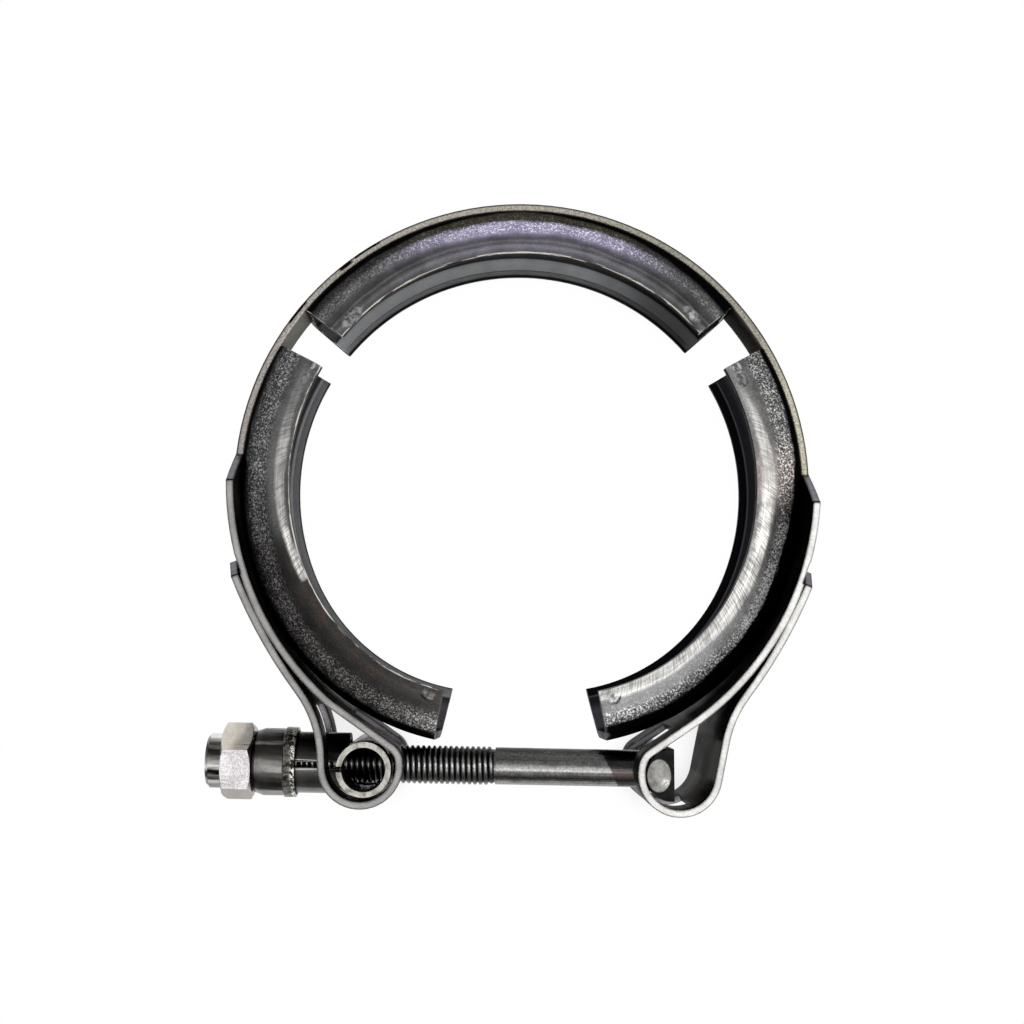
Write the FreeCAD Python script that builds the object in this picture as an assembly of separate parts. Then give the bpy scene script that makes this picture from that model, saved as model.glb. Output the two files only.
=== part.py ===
import FreeCAD, Part
import math
import os

# V band clamp: a spring steel strap with three V segments inside, closed by a T bolt through two strap loops.
# The origin is the centre of the ring at half of its width. Z is the ring's axis, the bolt lies on the -Y side.

# Strap sheet and ring
strapThick = 1.15
strapWide = 25.4
strapNarrow = 9.0
ringInner = 46.4
ringOuter = ringInner + strapThick
ringMid = ringInner + strapThick / 2

# Shoulders where the strap widens, as heights above the ring's centre: at the narrow edge and at the wide edge
shoulders = {"left": (5.0, -0.3), "right": (1.9, -3.6)}

# Strap ends, both written for the left side; the right one is mirrored. neckRun is the straight between the loop
# and the bend of the neck, and tailRun is how far the tail goes on past the weld
endBendRadius = 15.0
cornerRadius = 3.0
loopRadius = 6.1
neckRadius = 18.0
tailRadius = 80.0
tailGap = 0.1
weldAngle = 207.5
leftEnd = {
    "runAngle": 234.7, "runDistance": 46.74, "loop": (-25.9, -45.2), "neckRun": 2.176, "tailRun": 10.1927,
}
rightEnd = {
    "runAngle": 236.5, "runDistance": 46.95, "loop": (-24.35, -46.65), "neckRun": 6.3876, "tailRun": 8.5172,
}
tailCornerLong = 2.7
tailCornerDeep = 4.8
weldDiameter = 5.0
weldSpacing = 13.0

# Slots in the loops
slotWide = 11.5
slotLead = {"left": 8.5, "right": 5.7}
slotEndAngle = {"left": 290.0, "right": 244.5}
backSlotAngle = 256.0
backSlotTop = 7.5

# V segments
insertThick = 1.27
grooveDeep = 8.3
rimRadius = ringInner - grooveDeep
webHalf = 5.4
rimHalf = 8.25
webBend = 1.6
rimFlare = 1.3
rimLift = 0.1
rimBend = 1.0
topAngles = (40.5, 141.4)
leftStartAngle = 150.2
rightStartAngle = 150.1
curlStartAngle = 204.0
curlRadius = 40.0

# The curled ends are cut askew: how far past the end angle they run on the near side and on the far side
curlEndAngle = 257.5
leftEndRun = (-0.3, 1.1)
rightEndRun = (0.8, 1.5)

# Bolt line
boltLow = (23.1, -46.8)
tubeAt = (-25.4, -45.75)
shankRadius = 3.03
rootRadius = 2.72
shankRoot = 3.5
shankStart = boltLow[0] - shankRoot
shankLong = 24.1
threadStart = shankStart - shankLong
headRadius = 4.1
headFlat = 0.35
facetHalf = (1.9, 2.6)
facetInset = 2.1
headFacet = 0.35
headRest = 0.05
headLong = strapWide - 2 * (headFacet + headRest)

# Trunnion
tubeRadius = 4.35
tubeWall = 0.95
tubeLong = strapWide
sleeveRadius = 4.95
sleeveInner = 4.0
sleeveLong = 12.5
sleeveEnd = tubeAt[0] - sleeveLong
sleeveOverlap = 2.9
slitWide = 0.8

# Thrust cup and lock nut
cupCover = 0.94
cupEnd = sleeveEnd + cupCover
cupRimLong = 1.94
cupRimRadius = 5.7
cupRadius = 5.45
cupTaperLong = 1.6
cupNarrow = 4.9
cupLong = 6.99
cupFar = cupEnd - cupLong
cupFit = 0.3
cupSocket = 1.5
boltFree = 0.68
faceGap = 0.1
nutAcross = 11.11
nutTurnAngle = 9.8
hexStart = cupFar - faceGap
hexLong = 4.9
hexEnd = hexStart - hexLong
collarLong = 2.63
collarEnd = hexEnd - collarLong
tipInset = 1.18
boltTip = collarEnd + tipInset
collarRadius = 4.4
threadFit = 0.06


def at(angle, distance=1.0):
    """A point at this angle in degrees and distance from the origin."""
    return (distance * math.cos(math.radians(angle)), distance * math.sin(math.radians(angle)))


def plus(a, b, scale=1.0):
    return (a[0] + scale * b[0], a[1] + scale * b[1])


def along(a, b):
    return a[0] * b[0] + a[1] * b[1]


def bearing(a, b):
    """The direction from a to b in degrees."""
    return math.degrees(math.atan2(b[1] - a[1], b[0] - a[0]))


def arc(centre, radius, start, end):
    return {"centre": centre, "radius": radius, "start": start, "end": end}


def line(start, end):
    return {"from": start, "to": end}


def lengthOf(piece):
    if "centre" in piece:
        return piece["radius"] * math.radians(abs(piece["end"] - piece["start"]))
    return math.dist(piece["from"], piece["to"])


def partOf(piece, low, high):
    """The stretch of a piece between two fractions of its length."""
    if "centre" in piece:
        sweep = piece["end"] - piece["start"]
        return arc(piece["centre"], piece["radius"], piece["start"] + low * sweep, piece["start"] + high * sweep)
    step = plus(piece["to"], piece["from"], -1)
    return line(plus(piece["from"], step, low), plus(piece["from"], step, high))


def clip(pieces, low, high):
    """The stretch of a path between two distances along it."""
    kept = []
    done = 0.0
    for piece in pieces:
        size = lengthOf(piece)
        a = max(low, done)
        b = min(high, done + size)
        if b - a > 1e-6:
            kept.append(partOf(piece, (a - done) / size, (b - done) / size))
        done += size
    return kept


def shifted(piece, shift):
    """Three points on a piece moved to the left of its direction: its ends and its middle."""
    if "centre" in piece:
        turn = 1 if piece["end"] > piece["start"] else -1
        radius = piece["radius"] - turn * shift
        middle = (piece["start"] + piece["end"]) / 2
        return [plus(piece["centre"], at(a, radius)) for a in (piece["start"], middle, piece["end"])]
    left = at(bearing(piece["from"], piece["to"]) + 90, shift)
    a = plus(piece["from"], left)
    b = plus(piece["to"], left)
    return [a, plus(a, plus(b, a, -1), 0.5), b]


def edgeOf(points, curved):
    v = [FreeCAD.Vector(x, y, 0) for x, y in points]
    if curved:
        return Part.Arc(v[0], v[1], v[2]).toShape()
    return Part.LineSegment(v[0], v[2]).toShape()


def sheetFace(pieces, thickness):
    """A flat face of even thickness along a path of arcs and lines."""
    sides = []
    for shift in (thickness / 2, -thickness / 2):
        sides.append([(shifted(piece, shift), "centre" in piece) for piece in pieces])
    edges = [edgeOf(points, curved) for points, curved in sides[0]]
    last = (sides[0][-1][0][2], sides[1][-1][0][2])
    first = (sides[1][0][0][0], sides[0][0][0][0])
    edges.append(Part.LineSegment(FreeCAD.Vector(*last[0], 0), FreeCAD.Vector(*last[1], 0)).toShape())
    edges += [edgeOf(points, curved) for points, curved in reversed(sides[1])]
    edges.append(Part.LineSegment(FreeCAD.Vector(*first[0], 0), FreeCAD.Vector(*first[1], 0)).toShape())
    return Part.Face(Part.Wire(edges))


def slab(face, width):
    """A face in the XY plane made into a solid of this width, half on each side of it."""
    solid = face.extrude(FreeCAD.Vector(0, 0, width))
    solid.translate(FreeCAD.Vector(0, 0, -width / 2))
    return solid


def polygonFace(points):
    v = [FreeCAD.Vector(*p) for p in points]
    return Part.Face(Part.makePolygon(v + v[:1]))


def tailCentre():
    """The centre of the tail's flat curve, which comes nearest to the ring at the weld."""
    return at(weldAngle, ringOuter + tailGap + strapThick / 2 - tailRadius)


def tailEnd(end):
    """The angle at which a tail ends on its curve."""
    return weldAngle - math.degrees(end["tailRun"] / tailRadius)


def neckCentre(end):
    """The centre of the bend that touches the tail's curve at one end and the straight from the loop at the other."""
    tail = tailCentre()
    far = tailRadius + neckRadius
    near = math.hypot(loopRadius + neckRadius, end["neckRun"])
    apart = math.dist(tail, end["loop"])
    swing = math.degrees(math.acos((far ** 2 - near ** 2 + apart ** 2) / (2 * far * apart)))
    return plus(tail, at(bearing(tail, end["loop"]) - swing, far))


def endPath(end):
    """The middle line of half of the strap, from the top of the ring to the tail, and named distances along it."""
    normal = at(end["runAngle"])
    ahead = at(end["runAngle"] + 90)
    inward = (end["runDistance"] - endBendRadius) / (ringMid - endBendRadius)
    bendAt = end["runAngle"] - math.degrees(math.acos(inward))
    bendCentre = at(bendAt, ringMid - endBendRadius)
    across = end["runDistance"] + cornerRadius - along(end["loop"], normal)
    forward = math.sqrt((loopRadius - cornerRadius) ** 2 - across ** 2)
    corner = plus(plus(end["loop"], normal, across), ahead, forward)
    cornerStart = plus(corner, normal, -cornerRadius)
    cornerExit = bearing(end["loop"], corner)
    neck = neckCentre(end)
    joinAngle = bearing(tailCentre(), neck) % 360
    reach = math.dist(end["loop"], neck)
    heading = bearing(end["loop"], neck) % 360 - 90 + math.degrees(math.acos((loopRadius + neckRadius) / reach))
    side = at(heading + 90)
    pieces = [
        arc((0, 0), ringMid, 90, bendAt),
        arc(bendCentre, endBendRadius, bendAt, end["runAngle"]),
        line(plus(bendCentre, normal, endBendRadius), cornerStart),
        arc(corner, cornerRadius, end["runAngle"] - 180, cornerExit),
        arc(end["loop"], loopRadius, cornerExit, heading - 270),
        line(plus(end["loop"], side, loopRadius), plus(neck, side, -neckRadius)),
        arc(neck, neckRadius, heading - 90, joinAngle - 180),
        arc(tailCentre(), tailRadius, joinAngle, tailEnd(end)),
    ]
    sizes = [lengthOf(piece) for piece in pieces]
    marks = {
        "corner": sum(sizes[:3]), "loop": sum(sizes[:4]), "neck": sum(sizes[:6]), "tail": sum(sizes[:7]),
        "end": sum(sizes), "cornerExit": cornerExit,
    }
    return pieces, marks


def slotCut(pieces, low, high):
    return slab(sheetFace(clip(pieces, low, high), 3 * strapThick), slotWide)


def tailCornerCuts(end):
    """Wedges that take the two corners off the end of a tail."""
    radial = at(tailEnd(end))
    back = at(tailEnd(end) + 90)
    tip = plus(tailCentre(), radial, tailRadius - strapThick)
    cuts = []
    for way in (1, -1):
        points = []
        for run, deep in ((-1, -1), (tailCornerLong, 0), (tailCornerLong, 1), (-1, 1)):
            x, y = plus(tip, back, run)
            depth = {-1: tailCornerDeep * (1 + 1 / tailCornerLong), 0: 0, 1: -1}[deep]
            points.append((x, y, way * (strapWide / 2 - depth)))
        wedge = polygonFace(points).extrude(FreeCAD.Vector(radial[0], radial[1], 0) * 2 * strapThick)
        cuts.append(wedge)
    return cuts


def tailWelds():
    """Two weld nuggets between a tail and the strap."""
    inner = at(weldAngle, ringOuter - strapThick / 2)
    way = FreeCAD.Vector(*at(weldAngle), 0)
    nuggets = []
    for z in (-weldSpacing / 2, weldSpacing / 2):
        start = FreeCAD.Vector(inner[0], inner[1], z)
        nuggets.append(Part.makeCylinder(weldDiameter / 2, strapThick + tailGap, start, way))
    return nuggets


def shoulderCuts(narrowAt, wideAt):
    """Two prisms that narrow the top of the strap on the left side; they slant from the narrow to the wide edge."""
    reach = ringOuter + 1
    slope = (wideAt - narrowAt) / (strapWide / 2 - strapNarrow / 2)
    over = 1.0
    cuts = []
    for way in (1, -1):
        points = [
            (0, narrowAt, way * strapNarrow / 2),
            (0, wideAt + slope * over, way * (strapWide / 2 + over)),
            (0, reach, way * (strapWide / 2 + over)),
            (0, reach, way * strapNarrow / 2),
        ]
        cuts.append(polygonFace(points).extrude(FreeCAD.Vector(-reach, 0, 0)))
    return cuts


def strapHalf(end, name):
    pieces, marks = endPath(end)
    body = slab(sheetFace(pieces, strapThick), strapWide)
    loopStep = math.radians(loopRadius)
    slots = [
        slotCut(pieces, marks["corner"] - slotLead[name],
                marks["loop"] + loopStep * (marks["cornerExit"] + 360 - slotEndAngle[name])),
    ]
    if name == "left":
        slots.append(
            slotCut(pieces, marks["loop"] + loopStep * (marks["cornerExit"] + 360 - backSlotAngle),
                    marks["neck"] + backSlotTop)
        )
    body = body.fuse(tailWelds())
    body = body.cut(slots + tailCornerCuts(end) + shoulderCuts(*shoulders[name]))
    if name == "right":
        body = body.mirror(FreeCAD.Vector(0, 0, 0), FreeCAD.Vector(1, 0, 0))
    return body


def makeStrap():
    whole = strapHalf(leftEnd, "left").fuse(strapHalf(rightEnd, "right")).removeSplitter()
    return whole.Solids[0]


def bentPath(points, radii):
    """Straight runs between these points with a tangent bend of the given radius at each point between them."""
    pieces = []
    here = points[0]
    for i, radius in enumerate(radii, start=1):
        heading = bearing(points[i - 1], points[i])
        turn = (bearing(points[i], points[i + 1]) - heading + 180) % 360 - 180
        cut = radius * math.tan(math.radians(abs(turn)) / 2)
        start = plus(points[i], at(heading, -cut))
        side = 90 if turn > 0 else -90
        pieces.append(line(here, start))
        pieces.append(arc(plus(start, at(heading + side, radius)), radius, heading - side, heading - side + turn))
        here = plus(points[i], at(heading + turn, cut))
    pieces.append(line(here, points[-1]))
    return pieces


def insertSection():
    """The V segment's section in the XZ plane: a flat web, two bends, slanted flanges and small flared rims."""
    outer = ringInner - insertThick / 2
    flare = rimHalf - insertThick / 2
    half = [(rimRadius, flare + rimLift), (rimRadius + rimFlare, flare), (outer, webHalf)]
    points = half + [(r, -z) for r, z in reversed(half)]
    face = sheetFace(bentPath(points, [rimBend, webBend, webBend, rimBend]), insertThick)
    face.rotate(FreeCAD.Vector(0, 0, 0), FreeCAD.Vector(1, 0, 0), 90)
    return face


def makeInsert(start, end):
    """A V segment from one angle to another."""
    face = insertSection()
    face.rotate(FreeCAD.Vector(0, 0, 0), FreeCAD.Vector(0, 0, 1), start)
    return face.revolve(FreeCAD.Vector(0, 0, 0), FreeCAD.Vector(0, 0, 1), end - start).Solids[0]


def curlCut(pivot, endRun):
    """A block past the slanting plane in which a curled end is cut off."""
    radial = at(curlEndAngle)
    ahead = at(curlEndAngle + 90)
    low = plus(pivot, radial, curlRadius / 2)
    reach = rimHalf + 1
    middle = (endRun[0] + endRun[1]) / 2
    slant = (endRun[0] - endRun[1]) / (2 * rimHalf) * reach
    past = curlRadius / 2
    points = []
    for run, z in ((middle + slant, reach), (middle - slant, -reach), (past, -reach), (past, reach)):
        points.append((*plus(low, ahead, run), z))
    return polygonFace(points).extrude(FreeCAD.Vector(*radial, 0) * curlRadius)


def makeCurledInsert(start, endRun):
    """A V segment whose lower end curls inward where the strap leaves the ring."""
    tip = insertSection()
    axis = FreeCAD.Vector(0, 0, 1)
    tip.rotate(FreeCAD.Vector(0, 0, 0), axis, curlStartAngle)
    pivot = at(curlStartAngle, ringInner - curlRadius)
    extra = math.degrees(max(endRun) / curlRadius) * 2
    curled = tip.revolve(FreeCAD.Vector(*pivot, 0), axis, curlEndAngle + extra - curlStartAngle)
    body = makeInsert(start, curlStartAngle).fuse(curled).removeSplitter()
    return body.cut(curlCut(pivot, endRun)).Solids[0]


def boltPlacement():
    """Turns parts made along X, at their real X, onto the bolt's own slightly tilted line."""
    tilt = math.degrees(math.atan2(boltLow[1] - tubeAt[1], boltLow[0] - tubeAt[0]))
    height = tubeAt[1] + (boltLow[1] - tubeAt[1]) * -tubeAt[0] / (boltLow[0] - tubeAt[0])
    return FreeCAD.Placement(FreeCAD.Vector(0, height, 0), FreeCAD.Rotation(FreeCAD.Vector(0, 0, 1), tilt))


def rod(radius, start, end):
    return Part.makeCylinder(radius, end - start, FreeCAD.Vector(start, 0, 0), FreeCAD.Vector(1, 0, 0))


def turned(points):
    """A solid of revolution about X from points of X and radius."""
    return polygonFace([(x, r, 0) for x, r in points]).revolve(FreeCAD.Vector(0, 0, 0), FreeCAD.Vector(1, 0, 0), 360)


def makeTrunnion():
    """A tube along Z in the left loop and a slit sleeve round the bolt, one stamping."""
    place = boltPlacement()
    low = FreeCAD.Vector(*tubeAt, -tubeLong / 2)
    up = FreeCAD.Vector(0, 0, 1)
    outer = Part.makeCylinder(tubeRadius, tubeLong, low, up)
    hollow = Part.makeCylinder(tubeRadius - tubeWall, tubeLong, low, up)
    sleeve = rod(sleeveRadius, sleeveEnd, tubeAt[0] - sleeveOverlap)
    bore = rod(sleeveInner, sleeveEnd - 1, tubeAt[0] + tubeRadius + 1)
    slit = Part.makeBox(sleeveRadius * 2 + 2, slitWide, tubeLong)
    slit.translate(FreeCAD.Vector(sleeveEnd - 1, -slitWide / 2, sleeveInner / 2))
    for piece in (sleeve, bore, slit):
        piece.Placement = place.multiply(piece.Placement)
    body = outer.fuse(sleeve).cut([hollow, bore, slit])
    return body.removeSplitter().Solids[0]


def makeTBolt():
    """The forged bolt: D section head along Z, plain shank and the root of the rolled thread."""
    place = boltPlacement()
    shank = rod(shankRadius, threadStart, shankStart)
    core = turned([
        (threadStart, 0), (threadStart, rootRadius), (boltTip + 0.6, rootRadius),
        (boltTip, rootRadius - 0.6), (boltTip, 0),
    ])
    for piece in (shank, core):
        piece.Placement = place.multiply(piece.Placement)
    head = Part.makeCylinder(headRadius, headLong, FreeCAD.Vector(*boltLow, -headLong / 2), FreeCAD.Vector(0, 0, 1))
    block = Part.makeBox(headRadius + 1, headRadius * 3, headLong + 2)
    block.translate(FreeCAD.Vector(boltLow[0] + headFlat, boltLow[1] - headRadius * 1.5, -headLong / 2 - 1))
    head = head.cut(block)
    centre = FreeCAD.Vector(boltLow[0] - facetInset, boltLow[1], -headLong / 2 - headFacet)
    tip = centre + FreeCAD.Vector(0, facetHalf[1], 0)
    flank = centre + FreeCAD.Vector(facetHalf[0], 0, 0)
    oval = Part.Face(Part.Wire(Part.Ellipse(tip, flank, centre).toShape()))
    facet = oval.extrude(FreeCAD.Vector(0, 0, headLong + 2 * headFacet))
    return head.fuse([facet, shank, core]).Solids[0]


def makeThrustCup():
    """The cup washer: a socket over the sleeve's end, a rim ring and a taper towards the nut."""
    body = turned([
        (cupEnd, sleeveRadius + cupFit), (cupEnd, cupRimRadius), (cupEnd - cupRimLong, cupRimRadius),
        (cupEnd - cupRimLong, cupRadius), (cupFar + cupTaperLong, cupRadius), (cupFar, cupNarrow),
        (cupFar, rootRadius + boltFree), (cupEnd - cupSocket, rootRadius + boltFree),
        (cupEnd - cupSocket, sleeveRadius + cupFit),
    ])
    body.Placement = boltPlacement().multiply(body.Placement)
    return body.Solids[0]


def makeLockNut():
    """The hexagon nut with its round locking collar."""
    corner = nutAcross / 2 / math.cos(math.radians(30))
    points = []
    for k in range(6):
        y, z = at(60 * k + nutTurnAngle, corner)
        points.append((hexEnd, y, z))
    prism = polygonFace(points).extrude(FreeCAD.Vector(hexStart - hexEnd, 0, 0))
    crown = turned([
        (hexStart, 0), (hexStart, nutAcross / 2), (hexStart - 0.5, corner), (hexEnd + 0.5, corner),
        (hexEnd, nutAcross / 2), (hexEnd, 0),
    ])
    collar = turned([
        (hexEnd + 0.5, 0), (hexEnd + 0.5, collarRadius), (collarEnd + 0.5, collarRadius),
        (collarEnd, collarRadius - 0.5), (collarEnd, 0),
    ])
    body = prism.common(crown).fuse(collar).cut(rod(rootRadius + threadFit, collarEnd - 1, hexStart + 1))
    body.Placement = boltPlacement().multiply(body.Placement)
    return body.removeSplitter().Solids[0]


def mirrored(shape):
    return shape.mirror(FreeCAD.Vector(0, 0, 0), FreeCAD.Vector(1, 0, 0)).Solids[0]


def main():
    os.makedirs("parts", exist_ok=True)
    parts = {
        "strap": makeStrap(),
        "insert_top": makeInsert(topAngles[0], topAngles[1]),
        "insert_left": makeCurledInsert(leftStartAngle, leftEndRun),
        "insert_right": mirrored(makeCurledInsert(rightStartAngle, rightEndRun)),
        "trunnion": makeTrunnion(),
        "t_bolt": makeTBolt(),
        "thrust_cup": makeThrustCup(),
        "lock_nut": makeLockNut(),
    }
    for name, shape in parts.items():
        shape.exportStep("parts/" + name + ".step")
        box = shape.BoundBox
        print(name, shape.isValid(), len(shape.Solids), round(shape.Volume, 1), [
            round(v, 2) for v in (box.XMin, box.YMin, box.ZMin, box.XMax, box.YMax, box.ZMax)
        ])


main()
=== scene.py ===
import math
from types import SimpleNamespace

import bpy
from mathutils import Matrix, Vector


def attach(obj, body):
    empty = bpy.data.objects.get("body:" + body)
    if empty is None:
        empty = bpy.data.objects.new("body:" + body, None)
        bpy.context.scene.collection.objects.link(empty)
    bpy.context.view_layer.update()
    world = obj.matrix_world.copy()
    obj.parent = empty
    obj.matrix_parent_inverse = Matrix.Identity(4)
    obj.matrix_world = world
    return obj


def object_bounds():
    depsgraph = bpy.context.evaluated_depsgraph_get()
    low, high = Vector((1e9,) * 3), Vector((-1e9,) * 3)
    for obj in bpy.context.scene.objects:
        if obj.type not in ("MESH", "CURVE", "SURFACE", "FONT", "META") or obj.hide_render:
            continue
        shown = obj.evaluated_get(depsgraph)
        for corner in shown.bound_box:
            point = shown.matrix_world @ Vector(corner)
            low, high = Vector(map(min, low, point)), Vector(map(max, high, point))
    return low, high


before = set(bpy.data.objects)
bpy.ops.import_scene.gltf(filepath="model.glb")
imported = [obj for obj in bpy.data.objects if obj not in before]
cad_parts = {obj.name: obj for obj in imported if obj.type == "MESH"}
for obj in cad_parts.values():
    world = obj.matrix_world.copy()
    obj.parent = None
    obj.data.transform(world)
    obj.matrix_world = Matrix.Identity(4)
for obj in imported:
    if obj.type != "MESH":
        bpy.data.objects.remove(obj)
cadLow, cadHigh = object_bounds()
print("frame loaded")

mm = 0.001

# Camera: where it stands, the pixel where lines along the ring's axis meet, and the focal length in pixels.
cameraSetup = {
    "position": (-9.56, -26.33, 240.82),
    "meeting": (465.0, 645.0),
    "focal": 1440.0,
    "picture": 1024.0,
    "sensor": 36.0,
    "clip": (0.01, 20),
}


def makeCamera(setup):
    half = setup["picture"] / 2
    x, y = setup["meeting"]
    down = Vector(((x - half) / setup["focal"], (half - y) / setup["focal"], -1))
    up = -down.normalized()  # the world's Z in the camera's axes
    across = Vector((1, 0, 0)) - up * up.x
    across.normalize()
    ahead = up.cross(across)
    data = bpy.data.cameras.new("camera")
    data.sensor_width = setup["sensor"]
    data.lens = setup["focal"] / setup["picture"] * setup["sensor"]
    data.clip_start, data.clip_end = setup["clip"]
    camera = bpy.data.objects.new("camera", data)
    stand = Matrix.Translation(Vector(setup["position"]) * mm)
    camera.matrix_world = stand @ Matrix((across, ahead, up)).to_4x4()
    bpy.context.scene.collection.objects.link(camera)
    bpy.context.scene.camera = camera


makeCamera(cameraSetup)
print("camera made")


# Materials are small node graphs. A graph is the material's tree with these few helpers.
def newMaterial(name):
    material = bpy.data.materials.new(name)
    material.use_nodes = True
    tree = material.node_tree
    tree.nodes.clear()
    return material, tree


# A node's inputs are given by name, with _ for a space, or as i0, i1 and so on for their places.
def put(tree, kind, settings=None, **inputs):
    node = tree.nodes.new("ShaderNode" + kind)
    for key, value in (settings or {}).items():
        setattr(node, key, value)
    for key, value in inputs.items():
        socket = node.inputs[int(key[1:])] if key[1:].isdigit() else node.inputs[key.replace("_", " ")]
        if isinstance(value, bpy.types.NodeSocket):
            tree.links.new(value, socket)
        else:
            socket.default_value = value
    return node


def toOutput(tree, shader, kind="OutputMaterial"):
    tree.links.new(shader.outputs[0], put(tree, kind).inputs[0])


def maths(tree, operation, a, b=0.0, c=0.0):
    return put(tree, "Math", {"operation": operation}, i0=a, i1=b, i2=c).outputs[0]


def plus(tree, a, b):
    return maths(tree, "ADD", a, b)


def minus(tree, a, b):
    return maths(tree, "SUBTRACT", a, b)


def times(tree, *values):
    result = values[0]
    for value in values[1:]:
        result = maths(tree, "MULTIPLY", result, value)
    return result


def sizeOf(tree, value):
    return maths(tree, "ABSOLUTE", value)


def without(tree, mask):
    return minus(tree, 1.0, mask)


def dot(tree, a, b):
    return maths(tree, "MULTIPLY_ADD", a[0], b[0], times(tree, a[1], b[1]))


def vectorOf(tree, x, y, z=0.0):
    return put(tree, "CombineXYZ", i0=x, i1=y, i2=z).outputs[0]


def lengthOf(tree, x, y):
    return put(tree, "VectorMath", {"operation": "LENGTH"}, i0=vectorOf(tree, x, y)).outputs["Value"]


# The distance from a point, where squash makes the circle round it an oval that is longer along y.
def distanceFrom(tree, x, y, point, squash=1.0):
    return lengthOf(tree, minus(tree, x, point[0]), times(tree, minus(tree, y, point[1]), squash))


# A smooth change between two limits of a value.
def ramp(tree, value, low, high, fromTo=(0.0, 1.0)):
    limits = {"i1": low, "i2": high, "i3": fromTo[0], "i4": fromTo[1]}
    return put(tree, "MapRange", {"interpolation_type": "SMOOTHSTEP"}, i0=value, **limits).outputs[0]


def fall(tree, value, low, high):
    return ramp(tree, value, low, high, (1.0, 0.0))


# Full between two limits and fading out over a margin beyond them.
def between(tree, value, low, high, margin):
    return times(tree, ramp(tree, value, low - margin, low), fall(tree, value, high, high + margin))


# A noise stretched to run from least to most. A smaller reach round its middle gives more contrast.
def varied(tree, texture, least, most, reach=0.2):
    return ramp(tree, texture, 0.5 - reach, 0.5 + reach, (least, most))


# A noise as a shift to both sides of nothing.
def wobble(tree, texture, amount):
    return times(tree, minus(tree, texture, 0.5), amount)


def noise(tree, vector, scale, detail=3.0, rough=0.55, warp=0.0, stretch=None):
    if stretch:
        vector = put(tree, "Mapping", Vector=vector, Scale=stretch).outputs[0]
    node = put(tree, "TexNoise", Vector=vector, Scale=scale, Detail=detail, Roughness=rough, Distortion=warp)
    return node.outputs["Fac"]


# A colour as it shows on a screen, 0 to 255, made into the linear one that a shader takes.
def tone(red, green=None, blue=None):
    shown = (red, red if green is None else green, red if blue is None else blue)
    return tuple(v / 3294.6 if v <= 10.3 else ((v / 255 + 0.055) / 1.055) ** 2.4 for v in shown)


# A colour that changes with a value through (value, colour) stops.
def bands(tree, value, stops):
    low, high = stops[0][0], stops[-1][0]
    share = put(tree, "MapRange", i0=value, i1=low, i2=high).outputs[0]
    node = put(tree, "ValToRGB", i0=share)
    elements = node.color_ramp.elements
    elements[0].color = (*stops[0][1], 1)
    elements[1].color = (*stops[-1][1], 1)
    for level, colour in stops[1:-1]:
        elements.new((level - low) / (high - low)).color = (*colour, 1)
    return node.outputs[0]


# The same for greys of 0 to 255 with one tint for them all.
def greyBands(tree, value, stops, tint=(1.0, 1.0, 1.0)):
    tinted = [(level, tuple(v * t for v, t in zip(tone(shown), tint))) for level, shown in stops]
    return bands(tree, value, tinted)


# A number that changes with a value through (value, number) stops.
def curve(tree, value, stops):
    least = min(number for _, number in stops)
    span = max(number for _, number in stops) - least
    share = bands(tree, value, [(level, ((number - least) / span,) * 3) for level, number in stops])
    return maths(tree, "MULTIPLY_ADD", share, span, least)


def blendColour(tree, factor, a, b):
    node = put(tree, "Mix", {"data_type": "RGBA"}, i0=factor)
    for socket, value in ((node.inputs[6], a), (node.inputs[7], b)):
        if isinstance(value, bpy.types.NodeSocket):
            tree.links.new(value, socket)
        else:
            socket.default_value = (*value, 1)
    return node.outputs[2]


def blend(tree, factor, a, b):
    return put(tree, "Mix", i0=factor, i2=a, i3=b).outputs[0]


# A colour made lighter or darker by a factor.
def scaled(tree, colour, factor):
    return put(tree, "VectorMath", {"operation": "SCALE"}, i0=colour, Scale=factor).outputs[0]


def bump(tree, height, distance, strength, normal=None):
    inputs = {"Height": height, "Distance": distance * mm, "Strength": strength}
    if normal:
        inputs["Normal"] = normal
    return put(tree, "Bump", **inputs).outputs[0]


# Object coordinates in millimetres: the vector and its three parts.
def place(tree):
    where = scaled(tree, put(tree, "TexCoord").outputs["Object"], 1 / mm)
    return where, *put(tree, "SeparateXYZ", Vector=where).outputs


# The three parts of the direction that a face looks in.
def facing(tree):
    return tuple(put(tree, "SeparateXYZ", Vector=put(tree, "TexCoord").outputs["Normal"]).outputs)


# The edge tint takes light away where the steel is seen at flat angles, which stands in for shade on faces
# seen edge-on.
def finishSteel(tree, colour, rough, normal, edge=1.0):
    shader = put(tree, "BsdfPrincipled", Metallic=1.0, Specular_Tint=(edge, edge, edge, 1), Base_Color=colour)
    tree.links.new(rough, shader.inputs["Roughness"])
    tree.links.new(normal, shader.inputs["Normal"])
    toOutput(tree, shader)


# The ring as the CAD has it: the lower V segments curl in from this angle. The last value is the length in mm
# of one degree along the segments' flanges.
ring = {"inner": 46.4, "curlStart": 204.0, "curlRadius": 40.0, "perDegree": 0.72}


# A place's height in degrees above the ring's middle, the same on either side.
def heightAt(tree, x, y):
    return times(tree, maths(tree, "ARCTAN2", y, sizeOf(tree, x)), math.degrees(1))


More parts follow.
